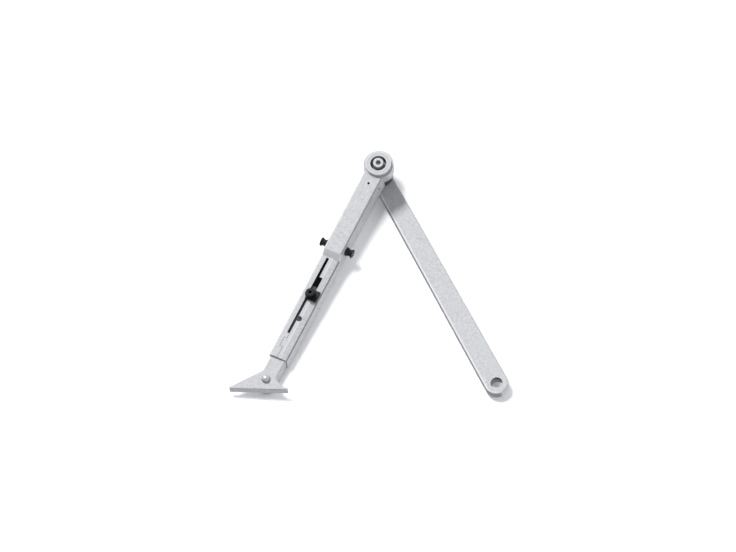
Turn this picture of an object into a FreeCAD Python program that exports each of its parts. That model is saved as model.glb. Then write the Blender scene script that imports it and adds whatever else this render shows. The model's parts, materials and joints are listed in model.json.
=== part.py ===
import FreeCAD, Part
import math
import os

import Sketcher
from FreeCAD import Placement, Rotation, Vector

# Hold-open arm of a door closer. Lengths are millimetres, angles are degrees.
# The spindle axis is the Z axis, the main arm lies on z = 0 and points to +Y and -X.
# In the forearm's own frame x runs from the elbow to the foot and y to the knob on the right.

SIZES = {
    # Layout of the two arms in the pose of the photograph
    "arm_length": 261.9,
    "arm_angle": 26.27,
    "fore_angle": 26.1,
    "foot_turn": 3.8,
    # Main arm, a flat bar that widens towards the spindle
    "arm_thick": 9.0,
    "spindle_end_radius": 12.2,
    "elbow_end_radius": 10.2,
    "arm_top_round": 1.6,
    "arm_low_round": 0.8,
    "screw_seat_radius": 6.1,
    "screw_seat_depth": 3.6,
    "spindle_screw_radius": 3.3,
    "socket_width": 10.2,
    "socket_depth": 4.0,
    "stud_shank_radius": 5.0,
    # Elbow pivot and its detent cam
    "cam_radius": 13.0,
    "cam_height": 11.5,
    "cam_edge": 0.6,
    "notch_angle": 105.0,
    "notch_depth": 1.3,
    "thrust_height": 1.5,
    "thrust_radius": 12.8,
    "stud_radius": 6.0,
    "stud_rise": 5.7,
    "thread_radius": 3.0,
    "thread_depth": 13.0,
    "pivot_washer_radius": 7.6,
    "pivot_washer_height": 1.8,
    "screw_head_radius": 5.3,
    "screw_head_height": 6.0,
    "screw_socket_radius": 2.9,
    "screw_socket_depth": 3.4,
    "screw_reach": 12.0,
    "axial_play": 0.3,
    "running_play": 0.05,
    # Housing at the elbow
    "barrel_radius": 15.3,
    "barrel_gap": 0.1,
    "bore_radius": 8.5,
    "bush_recess": 2.7,
    "ring_height": 3.0,
    "ring_radius": 13.0,
    "ring_top_radius": 12.5,
    "ring_bore_radius": 8.1,
    "ring_spigot_radius": 11.0,
    "ring_spigot_height": 2.0,
    "housing_half_width": 9.9,
    "housing_bottom": 10.5,
    "roof_play": 0.3,
    "housing_length": 110.4,
    "ramp_run": 5.2,
    "wall": 1.6,
    "end_wall": 1.5,
    "cam_clearance": 0.9,
    "neck_length": 31.0,
    "top_round": 1.6,
    "low_round": 1.2,
    "tongue_length": 10.0,
    "tongue_thick": 1.6,
    # Adjustment sleeve, folded from one sheet; its slot end, notch and tab are placed
    # from the end next to the foot
    "sleeve_length": 120.6,
    "sleeve_top": 28.6,
    "flange_fall": 0.6,
    "ridge_offset": 2.5,
    "slot_start": 1.2,
    "slot_end": 28.7,
    "slot_left": 3.9,
    "slot_width": 3.0,
    "window_start": 23.6,
    "window_end": 49.1,
    "window_width": 6.5,
    "eyelet_place": 47.1,
    "eyelet_offset": 0.5,
    "eyelet_radius": 3.0,
    "seam_width": 0.4,
    "tab_start": 22.7,
    "tab_length": 10.0,
    "tab_flare": 0.6,
    # Clamp of the telescopic rod, placed from the start of the sleeve
    "clamp_place": 45.2,
    "clamp_offset": 0.5,
    "clamp_plate_length": 11.5,
    "clamp_plate_edge": 8.3,
    "clamp_plate_thick": 2.0,
    "clamp_screw_radius": 2.5,
    "clamp_flange_radius": 5.3,
    "clamp_flange_height": 1.2,
    "clamp_head_radius": 4.4,
    "clamp_head_height": 3.8,
    "clamp_socket_radius": 2.0,
    "clamp_socket_depth": 2.4,
    # Detent roller, plunger and spring; the spring seat is placed from the housing's foot end
    "roller_radius": 5.0,
    "roller_height": 5.4,
    "roller_play": 0.1,
    "axle_radius": 1.6,
    "fork_floor": 1.7,
    "side_play": 0.2,
    "fork_front": 15.0,
    "block_rear": 44.0,
    "block_front": 34.0,
    "block_play": 2.2,
    "pin_place": 20.7,
    "pin_height": 25.2,
    "pin_radius": 1.5,
    "roll_pin_place": 22.8,
    "roll_pin_radius": 2.0,
    "roll_pin_bore": 1.35,
    "roll_pin_gap": 1.3,
    "roll_pin_slit": 0.5,
    "tail_radius": 2.0,
    "seat_place": 27.4,
    "seat_thick": 4.0,
    "spring_radius": 3.9,
    "spring_wire": 0.75,
    "spring_turns": 9.0,
    # Hold-open switch, placed from the foot end of the housing
    "switch_place": 14.1,
    "switch_height": 25.0,
    "switch_radius": 2.5,
    "switch_throw": 90.0,
    "switch_lift": 1.8,
    "lobe_rest": 2.55,
    "lobe_half_width": 2.8,
    "yoke_half_width": 3.0,
    "yoke_rear_wall": 1.0,
    "yoke_rim": 1.0,
    "knob_start": 10.4,
    "knob_length": 7.4,
    "knob_radius": 4.6,
    "knob_waist_radius": 3.5,
    "knob_edge": 0.6,
    # Telescopic rod, foot and rivet
    "rod_reach": 27.2,
    "rod_half_width": 8.2,
    "rod_play": 0.1,
    "rod_top_play": 0.2,
    "rod_lead": 10.7,
    "rod_round": 1.2,
    "rivet_radius": 4.0,
    "rivet_head_radius": 4.4,
    "rivet_head_height": 3.5,
    "rivet_foot_radius": 5.0,
    "rivet_foot_height": 1.2,
    "rivet_washer_radius": 7.0,
    "rivet_washer_height": 0.8,
    "foot_thick": 2.6,
    "lug_radius": 10.0,
    "foot_left": 36.2,
    "foot_right": 22.5,
    "foot_front": 11.3,
    "flange_height": 8.3,
    "flange_bend": 0.9,
    "lug_waist_x": 12.7,
    "lug_waist_y": 3.6,
    "lug_shoulder": 20.6,
    "lug_corner_depth": 1.6,
}

RIGHT_ANGLE = 90
FULL_TURN = 360
HEXAGON_CORNERS = 6
CENTRE_INDEX = 3
LOBE_STEPS = 8
LUG_TANGENT_ANGLE = 30
SHEET_NAME = "Sizes"
PARTS_FOLDER = "parts"

document = FreeCAD.newDocument("door_closer_arm")
finished = []


class Size:
    """A number together with the spreadsheet expression that it comes from."""

    def __init__(self, number, text):
        self.number = number
        self.text = text

    def __add__(self, other):
        other = as_size(other)
        return Size(self.number + other.number, "(%s + %s)" % (self.text, other.text))

    def __sub__(self, other):
        other = as_size(other)
        return Size(self.number - other.number, "(%s - %s)" % (self.text, other.text))

    def __mul__(self, other):
        other = as_size(other)
        return Size(self.number * other.number, "(%s * %s)" % (self.text, other.text))

    def __truediv__(self, other):
        other = as_size(other)
        return Size(self.number / other.number, "(%s / %s)" % (self.text, other.text))

    def __neg__(self):
        return Size(-self.number, "(0 - %s)" % self.text)

    __radd__ = __add__
    __rmul__ = __mul__


def as_size(value):
    return value if isinstance(value, Size) else Size(float(value), repr(float(value)))


def sine(angle):
    return Size(math.sin(math.radians(angle.number)), "sin(%s)" % angle.text)


def cosine(angle):
    return Size(math.cos(math.radians(angle.number)), "cos(%s)" % angle.text)


def diagonal(one, other):
    return Size(math.hypot(one.number, other.number),
                "sqrt(%s * %s + %s * %s)" % (one.text, one.text, other.text, other.text))


def write_sheet():
    sheet = document.addObject("Spreadsheet::Sheet", SHEET_NAME)
    sizes = {}
    for row, (name, value) in enumerate(SIZES.items(), start=1):
        sheet.set("A%d" % row, name)
        sheet.set("B%d" % row, str(value))
        sheet.setAlias("B%d" % row, name)
    document.recompute()
    for name in SIZES:
        sizes[name] = Size(float(sheet.get(name)), "%s.%s" % (SHEET_NAME, name))
    return sizes


class Values:
    """Every size of the sheet as an attribute."""

    def __init__(self, sizes):
        self.__dict__.update(sizes)


S = Values(write_sheet())
ZERO = as_size(0)

# Levels and places that follow from the sizes
CAM_TOP = S.arm_thick + S.cam_height
THRUST_TOP = CAM_TOP + S.thrust_height
BARREL_BOTTOM = THRUST_TOP + S.axial_play
STUD_TOP = S.switch_height + S.stud_rise
FORE_LENGTH = S.housing_length + S.sleeve_length + S.rod_reach
RAMP_START = S.housing_length - S.ramp_run
SWITCH_PLACE = S.housing_length - S.switch_place
SEAT_PLACE = S.housing_length - S.seat_place
SPRING_LENGTH = SEAT_PLACE - S.block_rear - S.side_play
SLOT_END = S.sleeve_length - S.slot_end
TAB_START = S.sleeve_length - S.tab_start
CLAMP_PLACE = S.housing_length + S.clamp_place
ROD_LENGTH = FORE_LENGTH - CLAMP_PLACE + S.rod_lead
SCREW_SEAT = STUD_TOP + S.pivot_washer_height
CAVITY_HALF_WIDTH = S.housing_half_width - S.wall
CAVITY_FLOOR = S.housing_bottom + S.wall
SLEEVE_ROOF = S.sleeve_top - S.wall
ROLLER_PLACE = S.cam_radius + S.running_play + S.roller_radius
FORK_TOP = BARREL_BOTTOM - S.side_play
FORK_BOTTOM = CAVITY_FLOOR + S.side_play
ROLLER_BOTTOM = FORK_BOTTOM + S.fork_floor + S.roller_play
LOBE_LIFT = S.notch_depth + S.switch_lift
LOBE_RATE = LOBE_LIFT / (S.switch_throw * math.radians(1))
LOBE_REACH = diagonal(S.lobe_rest + LOBE_LIFT, LOBE_RATE)
LOBE_TOP = LOBE_REACH + S.side_play
CAVITY_ROOF = S.switch_height + LOBE_TOP + S.yoke_rim + S.roof_play
HOUSING_TOP = CAVITY_ROOF + S.wall
RING_TOP = HOUSING_TOP + S.ring_height
RING_SEAT = HOUSING_TOP - S.ring_spigot_height
BUSH_TOP = RING_SEAT - S.bush_recess
BLOCK_TOP = CAVITY_ROOF - S.block_play
ROLL_PIN_BOTTOM = S.pin_height + S.pin_radius + S.roll_pin_gap
YOKE_FRONT = S.switch_radius + S.switch_lift + S.side_play
YOKE_REAR = S.lobe_rest + S.notch_depth + S.running_play
ROD_BOTTOM = CAVITY_FLOOR + S.rod_play
ROD_TOP = SLEEVE_ROOF - S.rod_top_play
LUG_BOTTOM = ROD_TOP + S.rivet_washer_height + S.running_play
LUG_TOP = LUG_BOTTOM + S.foot_thick
ARM_YAW = S.arm_angle + RIGHT_ANGLE
FORE_YAW = -S.fore_angle - RIGHT_ANGLE


def elbow_spot():
    return (-(S.arm_length * sine(S.arm_angle)), S.arm_length * cosine(S.arm_angle))


def fore_spot(along, across=ZERO):
    """A point of the forearm, by its distance from the elbow and its offset to the right."""
    elbow_x, elbow_y = elbow_spot()
    x = elbow_x - along * sine(S.fore_angle) + across * cosine(S.fore_angle)
    y = elbow_y - along * cosine(S.fore_angle) - across * sine(S.fore_angle)
    return (x, y)


def place(item, spot, yaw):
    item.Placement = Placement(
        Vector(spot[0].number, spot[1].number, 0),
        Rotation(Vector(0, 0, 1), yaw.number),
    )
    item.setExpression("Placement.Base.x", spot[0].text)
    item.setExpression("Placement.Base.y", spot[1].text)
    item.setExpression("Placement.Rotation.Angle", yaw.text)


def new_body(name, spot, yaw):
    body = document.addObject("PartDesign::Body", name)
    body.Label = name
    place(body, spot, yaw)
    finished.append(body)
    return body


def new_sketch(body, name, role="XY_Plane", level=ZERO, rise=ZERO):
    """A sketch on an origin plane, moved along its normal by level and up by rise."""
    sketch = body.newObject("Sketcher::SketchObject", name)
    plane = [item for item in body.Origin.OriginFeatures if item.Role == role][0]
    sketch.AttachmentSupport = [(plane, "")]
    sketch.MapMode = "FlatFace"
    sketch.setExpression("AttachmentOffset.Base.z", level.text)
    sketch.setExpression("AttachmentOffset.Base.y", rise.text)
    return sketch


def bind(sketch, kind, geometry, size):
    index = sketch.addConstraint(Sketcher.Constraint(kind, *geometry, size.number))
    sketch.setExpression("Constraints[%d]" % index, size.text)


def pin_point(sketch, geometry, end, x, y):
    bind(sketch, "DistanceX", (-1, 1, geometry, end), as_size(x))
    bind(sketch, "DistanceY", (-1, 1, geometry, end), as_size(y))


def flat_vector(point):
    return Vector(as_size(point[0]).number, as_size(point[1]).number, 0)


def draw_polygon(sketch, corners):
    count = len(corners)
    first = sketch.GeometryCount
    for index, corner in enumerate(corners):
        following = corners[(index + 1) % count]
        sketch.addGeometry(Part.LineSegment(flat_vector(corner), flat_vector(following)))
    for index, corner in enumerate(corners):
        following = first + (index + 1) % count
        sketch.addConstraint(Sketcher.Constraint("Coincident", first + index, 2, following, 1))
    for index, corner in enumerate(corners):
        pin_point(sketch, first + index, 1, *corner)


def draw_box(sketch, low, high):
    draw_polygon(sketch, [low, (high[0], low[1]), high, (low[0], high[1])])


def draw_circle(sketch, centre, radius):
    radius = as_size(radius)
    index = sketch.addGeometry(Part.Circle(flat_vector(centre), Vector(0, 0, 1), radius.number))
    pin_point(sketch, index, CENTRE_INDEX, *centre)
    bind(sketch, "Radius", (index,), radius)


def draw_tapered_link(sketch, near_radius, far_radius, length):
    """Two arcs on the x axis joined by their common tangents."""
    lean = math.asin((near_radius.number - far_radius.number) / length.number)
    near, far = Vector(0, 0, 0), Vector(length.number, 0, 0)
    top = math.pi / 2 - lean
    axis = Vector(0, 0, 1)
    near_arc = sketch.addGeometry(Part.ArcOfCircle(
        Part.Circle(near, axis, near_radius.number), top, 2 * math.pi - top))
    far_arc = sketch.addGeometry(Part.ArcOfCircle(
        Part.Circle(far, axis, far_radius.number), -top, top))
    normal = Vector(math.cos(top), math.sin(top), 0)
    mirrored = Vector(normal.x, -normal.y, 0)
    upper = sketch.addGeometry(Part.LineSegment(
        near + normal * near_radius.number, far + normal * far_radius.number))
    lower = sketch.addGeometry(Part.LineSegment(
        near + mirrored * near_radius.number, far + mirrored * far_radius.number))
    for line, line_end, arc, arc_end in (
            (upper, 1, near_arc, 1), (upper, 2, far_arc, 2),
            (lower, 1, near_arc, 2), (lower, 2, far_arc, 1)):
        sketch.addConstraint(Sketcher.Constraint("Tangent", line, line_end, arc, arc_end))
    pin_point(sketch, near_arc, CENTRE_INDEX, ZERO, ZERO)
    pin_point(sketch, far_arc, CENTRE_INDEX, length, ZERO)
    bind(sketch, "Radius", (near_arc,), near_radius)
    bind(sketch, "Radius", (far_arc,), far_radius)


def body_volume(body):
    document.recompute()
    return body.Shape.Volume


def extrude(body, kind, sketch, length, backwards=False, both_ways=False):
    feature = body.newObject("PartDesign::" + kind, sketch.Name + "_" + kind.lower())
    feature.Profile = sketch
    feature.setExpression("Length", as_size(length).text)
    feature.Reversed = backwards
    feature.Midplane = both_ways
    sketch.Visibility = False
    return feature


def pad(body, sketch, length, both_ways=False):
    extrude(body, "Pad", sketch, length, both_ways=both_ways)


def pocket(body, sketch, length, both_ways=False):
    """Cuts from the sketch plane along its normal, or both ways from it."""
    before = body_volume(body)
    extrude(body, "Pocket", sketch, length, backwards=True, both_ways=both_ways)
    if body_volume(body) >= before:
        raise RuntimeError("%s cuts nothing" % sketch.Name)


def revolve(body, sketch, axis="V_Axis"):
    feature = body.newObject("PartDesign::Revolution", sketch.Name + "_turned")
    feature.Profile = sketch
    feature.ReferenceAxis = (sketch, [axis])
    feature.Angle = FULL_TURN
    return feature


def turned(name, spot, yaw, profile):
    """A piece turned about a vertical axis from a closed profile of radius and height."""
    body = new_body(name, spot, yaw)
    sketch = new_sketch(body, name + "_profile", "XZ_Plane")
    draw_polygon(sketch, profile)
    revolve(body, sketch)
    return body


def dress(body, kind, property_name, size, picks):
    """Rounds or chamfers the edges of the body's tip that picks accepts."""
    document.recompute()
    base = body.Tip
    names = ["Edge%d" % number for number, edge in enumerate(base.Shape.Edges, start=1)
             if picks(edge)]
    if not names:
        raise RuntimeError("no edge of %s to dress" % body.Label)
    feature = body.newObject("PartDesign::" + kind, body.Label + "_" + kind.lower())
    feature.Base = (base, names)
    feature.setExpression(property_name, as_size(size).text)


def fillet(body, radius, picks):
    dress(body, "Fillet", "Radius", radius, picks)


def chamfer(body, size, picks):
    dress(body, "Chamfer", "Size", size, picks)


TOLERANCE = 0.01
OUTER_EDGE_SHARE = 1.5


def near(value, size):
    return abs(value - as_size(size).number) < TOLERANCE


def outer_edge_at(edge, level, radius):
    """True for the rim of a head, not for an edge of the socket in it."""
    return flat_at(edge, level) and edge.BoundBox.XLength > radius.number * OUTER_EDGE_SHARE


def flat_at(edge, level):
    """True for an edge that lies wholly at one height."""
    return near(edge.BoundBox.ZMin, level) and near(edge.BoundBox.ZMax, level)


def along_x(edge, y, z):
    box = edge.BoundBox
    return (near(box.YMin, y) and near(box.YMax, y) and near(box.ZMin, z)
            and near(box.ZMax, z) and box.XLength > TOLERANCE)


def along_side(edge, y):
    """True for a level or sloping edge that runs along x in the side face at y."""
    box = edge.BoundBox
    return near(box.YMin, y) and near(box.YMax, y) and box.XLength > TOLERANCE


def main_arm():
    body = new_body("main_arm", (ZERO, ZERO), ARM_YAW)
    outline = new_sketch(body, "arm_outline")
    draw_tapered_link(outline, S.spindle_end_radius, S.elbow_end_radius, S.arm_length)
    pad(body, outline, S.arm_thick)
    fillet(body, S.arm_top_round, lambda edge: flat_at(edge, S.arm_thick))
    fillet(body, S.arm_low_round, lambda edge: flat_at(edge, 0))
    seat = new_sketch(body, "screw_seat", level=S.arm_thick - S.screw_seat_depth)
    draw_circle(seat, (ZERO, ZERO), S.screw_seat_radius)
    pocket(body, seat, S.screw_seat_depth)
    half = S.socket_width / 2
    socket = new_sketch(body, "spindle_socket")
    draw_box(socket, (-half, -half), (half, half))
    pocket(body, socket, S.socket_depth)
    screw = new_sketch(body, "spindle_screw_hole")
    draw_circle(screw, (ZERO, ZERO), S.spindle_screw_radius)
    pocket(body, screw, S.arm_thick)
    shank = new_sketch(body, "stud_hole")
    draw_circle(shank, (S.arm_length, ZERO), S.stud_shank_radius)
    pocket(body, shank, S.arm_thick)


def elbow_stack():
    """The pieces on the pivot that stay with the main arm."""
    spot = elbow_spot()
    turned("pivot_stud", spot, ARM_YAW, [
        (ZERO, ZERO), (S.stud_shank_radius, ZERO), (S.stud_shank_radius, S.arm_thick),
        (S.stud_radius, S.arm_thick), (S.stud_radius, STUD_TOP),
        (S.thread_radius, STUD_TOP), (S.thread_radius, STUD_TOP - S.thread_depth),
        (ZERO, STUD_TOP - S.thread_depth)])
    turned("thrust_washer", spot, ARM_YAW, [
        (S.stud_radius + S.running_play, CAM_TOP), (S.thrust_radius, CAM_TOP),
        (S.thrust_radius, THRUST_TOP), (S.stud_radius + S.running_play, THRUST_TOP)])
    turned("pivot_washer", spot, ARM_YAW, [
        (S.thread_radius + S.running_play, STUD_TOP), (S.pivot_washer_radius, STUD_TOP),
        (S.pivot_washer_radius, SCREW_SEAT), (S.thread_radius + S.running_play, SCREW_SEAT)])


def detent_cam():
    """A round cam with two notches that hold the door open, one for each hand of door."""
    body = new_body("detent_cam", elbow_spot(), ARM_YAW)
    outline = new_sketch(body, "cam_outline", level=S.arm_thick)
    draw_circle(outline, (ZERO, ZERO), S.cam_radius)
    draw_circle(outline, (ZERO, ZERO), S.stud_radius)
    pad(body, outline, S.cam_height)
    chamfer(body, S.cam_edge, lambda edge: flat_at(edge, CAM_TOP)
            and edge.BoundBox.XLength > S.cam_radius.number)
    notch_distance = S.cam_radius + S.roller_radius - S.notch_depth
    for side, turn in (("left", -S.notch_angle), ("right", S.notch_angle)):
        notch = new_sketch(body, "notch_" + side, level=S.arm_thick)
        centre = (-(notch_distance * cosine(turn)), -(notch_distance * sine(turn)))
        draw_circle(notch, centre, S.roller_radius + S.running_play)
        pocket(body, notch, S.cam_height)


def hexagon(radius):
    corners = []
    for index in range(HEXAGON_CORNERS):
        angle = as_size(FULL_TURN / HEXAGON_CORNERS * index)
        corners.append((radius * cosine(angle), radius * sine(angle)))
    return corners


def socket_screw(name, spot, yaw, profile, head_top, socket_radius, socket_depth):
    body = turned(name, spot, yaw, profile)
    socket = new_sketch(body, name + "_socket", level=head_top - socket_depth)
    draw_polygon(socket, hexagon(socket_radius))
    pocket(body, socket, socket_depth)
    return body


def pivot_screw():
    top = SCREW_SEAT + S.screw_head_height
    body = socket_screw("pivot_screw", elbow_spot(), ARM_YAW, [
        (ZERO, SCREW_SEAT - S.screw_reach), (S.thread_radius, SCREW_SEAT - S.screw_reach),
        (S.thread_radius, SCREW_SEAT), (S.screw_head_radius, SCREW_SEAT),
        (S.screw_head_radius, top), (ZERO, top)],
        top, S.screw_socket_radius, S.screw_socket_depth)
    fillet(body, S.cam_edge, lambda edge: outer_edge_at(edge, top, S.screw_head_radius))


def elbow_block():
    """Forged barrel round the pivot, with a neck that plugs into the housing."""
    body = new_body("elbow_block", elbow_spot(), FORE_YAW)
    barrel = new_sketch(body, "barrel", level=BARREL_BOTTOM)
    draw_circle(barrel, (ZERO, ZERO), S.barrel_radius)
    pad(body, barrel, HOUSING_TOP - BARREL_BOTTOM)
    neck = new_sketch(body, "neck", level=BARREL_BOTTOM)
    draw_box(neck, (ZERO, -CAVITY_HALF_WIDTH), (S.neck_length, CAVITY_HALF_WIDTH))
    pad(body, neck, CAVITY_ROOF - BARREL_BOTTOM)
    bore = new_sketch(body, "pivot_bore", level=BARREL_BOTTOM)
    draw_circle(bore, (ZERO, ZERO), S.bore_radius)
    pocket(body, bore, HOUSING_TOP - BARREL_BOTTOM)
    spigot = new_sketch(body, "ring_seat", level=RING_SEAT)
    draw_circle(spigot, (ZERO, ZERO), S.ring_spigot_radius)
    pocket(body, spigot, S.ring_spigot_height)
    pin_holes(body)


def elbow_housing():
    """Housing of the detent, its front cut round the barrel and the cam, its end forked."""
    body = new_body("elbow_housing", elbow_spot(), FORE_YAW)
    half = S.housing_half_width
    side_view = new_sketch(body, "housing_side_view", "XZ_Plane")
    draw_polygon(side_view, [
        (ZERO, S.housing_bottom), (S.housing_length, S.housing_bottom),
        (S.housing_length, S.sleeve_top), (RAMP_START, HOUSING_TOP), (ZERO, HOUSING_TOP)])
    pad(body, side_view, half * 2, both_ways=True)
    for side in (half, -half):
        fillet(body, S.top_round, lambda edge, y=side: along_side(edge, y)
               and edge.BoundBox.ZMin > S.sleeve_top.number - TOLERANCE)
        fillet(body, S.low_round, lambda edge, y=side: along_x(edge, y, S.housing_bottom))
    room = new_sketch(body, "detent_room", "XZ_Plane")
    room_end = S.housing_length - S.end_wall
    draw_polygon(room, [
        (ZERO, CAVITY_FLOOR), (room_end, CAVITY_FLOOR), (room_end, SLEEVE_ROOF),
        (RAMP_START - S.wall / 2, CAVITY_ROOF), (ZERO, CAVITY_ROOF)])
    pocket(body, room, CAVITY_HALF_WIDTH * 2, both_ways=True)
    front = new_sketch(body, "barrel_front", level=BARREL_BOTTOM - S.axial_play)
    draw_circle(front, (ZERO, ZERO), S.barrel_radius + S.barrel_gap)
    pocket(body, front, HOUSING_TOP - BARREL_BOTTOM + S.axial_play)
    clearance = new_sketch(body, "cam_clearance_round", level=S.housing_bottom)
    draw_circle(clearance, (ZERO, ZERO), S.cam_radius + S.cam_clearance)
    pocket(body, clearance, BARREL_BOTTOM - S.housing_bottom)
    bearing = new_sketch(body, "switch_bearing", "XZ_Plane")
    draw_circle(bearing, (SWITCH_PLACE, S.switch_height), S.switch_radius + S.running_play)
    pocket(body, bearing, half * 2, both_ways=True)
    pin_holes(body)
    forked_tongue(body)


def pin_holes(body):
    """Holes of the two pins that hold the neck in the housing."""
    label = body.Label
    cross = new_sketch(body, label + "_cross_hole", "XZ_Plane")
    draw_circle(cross, (S.pin_place, S.pin_height), S.pin_radius)
    pocket(body, cross, S.housing_half_width * 2, both_ways=True)
    upright = new_sketch(body, label + "_roll_pin_hole", level=ROLL_PIN_BOTTOM)
    draw_circle(upright, (S.roll_pin_place, ZERO), S.roll_pin_radius)
    pocket(body, upright, HOUSING_TOP - ROLL_PIN_BOTTOM)


def forked_tongue(body):
    """Two cheeks that reach into the sleeve and leave its middle open."""
    outer = CAVITY_HALF_WIDTH
    inner = outer - S.tongue_thick
    tongue = new_sketch(body, "tongue_cheeks", level=CAVITY_FLOOR)
    far = S.housing_length + S.tongue_length
    for low, high in ((-outer, -inner), (inner, outer)):
        draw_box(tongue, (S.housing_length - S.end_wall, low), (far, high))
    pad(body, tongue, SLEEVE_ROOF - CAVITY_FLOOR)


def elbow_trim():
    """Bush and cap ring in the barrel."""
    spot = elbow_spot()
    inner = S.stud_radius + S.running_play
    turned("elbow_bush", spot, FORE_YAW, [
        (inner, BARREL_BOTTOM), (S.bore_radius, BARREL_BOTTOM),
        (S.bore_radius, BUSH_TOP), (inner, BUSH_TOP)])
    rim = S.ring_radius - S.ring_top_radius
    turned("elbow_cap_ring", spot, FORE_YAW, [
        (S.ring_bore_radius, RING_SEAT), (S.ring_spigot_radius, RING_SEAT),
        (S.ring_spigot_radius, HOUSING_TOP), (S.ring_radius - rim / 2, HOUSING_TOP),
        (S.ring_radius, HOUSING_TOP + rim / 2), (S.ring_radius, RING_TOP - rim),
        (S.ring_top_radius, RING_TOP), (S.ring_bore_radius, RING_TOP)])


def roll_pin():
    """A slit spring pin driven into the neck from above."""
    body = new_body("roll_pin", fore_spot(S.roll_pin_place), FORE_YAW)
    ring = new_sketch(body, "roll_pin_ring", level=ROLL_PIN_BOTTOM)
    draw_circle(ring, (ZERO, ZERO), S.roll_pin_radius)
    draw_circle(ring, (ZERO, ZERO), S.roll_pin_bore)
    length = HOUSING_TOP - ROLL_PIN_BOTTOM
    pad(body, ring, length)
    slit = new_sketch(body, "roll_pin_slit_line", level=ROLL_PIN_BOTTOM)
    half = S.roll_pin_slit / 2
    draw_box(slit, (ZERO, -half), (S.roll_pin_radius * 2, half))
    pocket(body, slit, length)


def cross_pin():
    body = new_body("cross_pin", elbow_spot(), FORE_YAW)
    end = new_sketch(body, "cross_pin_round", "XZ_Plane")
    draw_circle(end, (S.pin_place, S.pin_height), S.pin_radius)
    pad(body, end, S.housing_half_width * 2, both_ways=True)


def adjustment_sleeve():
    """The folded sleeve: its two edges leave a slot and then lock in a jigsaw seam."""
    body = new_body("adjustment_sleeve", fore_spot(S.housing_length), FORE_YAW)
    half = S.housing_half_width
    low, high = S.housing_bottom, S.sleeve_top
    outline = new_sketch(body, "sleeve_outline", "YZ_Plane")
    draw_polygon(outline, [(-half, low), (half, low), (half, high - S.flange_fall),
                           (S.ridge_offset, high), (-half, high)])
    pad(body, outline, S.sleeve_length)
    fillet(body, S.top_round, lambda edge: along_x(edge, half, high - S.flange_fall))
    fillet(body, S.top_round, lambda edge: along_x(edge, -half, high))
    fillet(body, S.low_round, lambda edge: along_x(edge, half, low))
    fillet(body, S.low_round, lambda edge: along_x(edge, -half, low))
    channel = new_sketch(body, "rod_channel", "YZ_Plane")
    inner = CAVITY_HALF_WIDTH
    draw_box(channel, (-inner, CAVITY_FLOOR), (inner, SLEEVE_ROOF))
    pocket(body, channel, S.sleeve_length)
    cut_sleeve_top(body)


def cut_sleeve_top(body):
    depth = S.wall * 2
    level = SLEEVE_ROOF - S.wall / 2
    left = -S.slot_left
    right = S.slot_width - S.slot_left
    slot = new_sketch(body, "adjusting_slot", level=level)
    draw_box(slot, (S.slot_start, left), (SLOT_END, right))
    pocket(body, slot, depth)
    window = new_sketch(body, "clamp_window", level=level)
    draw_box(window, (S.window_start, left), (S.window_end, left + S.window_width))
    pocket(body, window, depth)
    eyelet = new_sketch(body, "round_notch", level=level)
    draw_circle(eyelet, (S.sleeve_length - S.eyelet_place, S.eyelet_offset), S.eyelet_radius)
    pocket(body, eyelet, depth)
    seam = new_sketch(body, "jigsaw_seam", level=level)
    draw_polygon(seam, seam_outline(left, right))
    pocket(body, seam, depth)


def seam_outline(left, right):
    """A narrow band along the closed part of the fold, with one flared tab."""
    gap = S.seam_width
    start = TAB_START
    end = TAB_START + S.tab_length
    return [
        (SLOT_END - gap, right - gap), (start, right - gap),
        (start - S.tab_flare, left - gap), (end + S.tab_flare, left - gap),
        (end, right - gap), (S.sleeve_length, right - gap),
        (S.sleeve_length, right), (end - gap, right), (end - gap + S.tab_flare, left),
        (start + gap - S.tab_flare, left), (start + gap, right), (SLOT_END - gap, right)]


def clamp():
    """Saddle plate and black screw that fix the length of the forearm."""
    spot = fore_spot(CLAMP_PLACE, -S.clamp_offset)
    half = S.clamp_plate_length / 2
    plate = new_body("clamp_plate", spot, FORE_YAW)
    outline = new_sketch(plate, "plate_outline", level=S.sleeve_top)
    right = S.clamp_plate_edge + S.clamp_offset
    draw_box(outline, (-half, -(S.slot_left - S.clamp_offset)), (half, right))
    draw_circle(outline, (ZERO, ZERO), S.clamp_screw_radius)
    pad(plate, outline, S.clamp_plate_thick)
    top = S.sleeve_top + S.clamp_plate_thick
    chamfer(plate, S.cam_edge, lambda edge: flat_at(edge, top)
            and near(edge.BoundBox.YMin, right) and near(edge.BoundBox.YMax, right))
    flange_top = top + S.clamp_flange_height
    head_top = flange_top + S.clamp_head_height
    tip = ROD_TOP + S.rod_play
    screw = socket_screw("clamp_screw", spot, FORE_YAW, [
        (ZERO, tip), (S.clamp_screw_radius, tip), (S.clamp_screw_radius, top),
        (S.clamp_flange_radius, top), (S.clamp_flange_radius, flange_top),
        (S.clamp_head_radius, flange_top), (S.clamp_head_radius, head_top), (ZERO, head_top)],
        head_top, S.clamp_socket_radius, S.clamp_socket_depth)
    fillet(screw, S.cam_edge, lambda edge: outer_edge_at(edge, head_top, S.clamp_head_radius))


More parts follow.
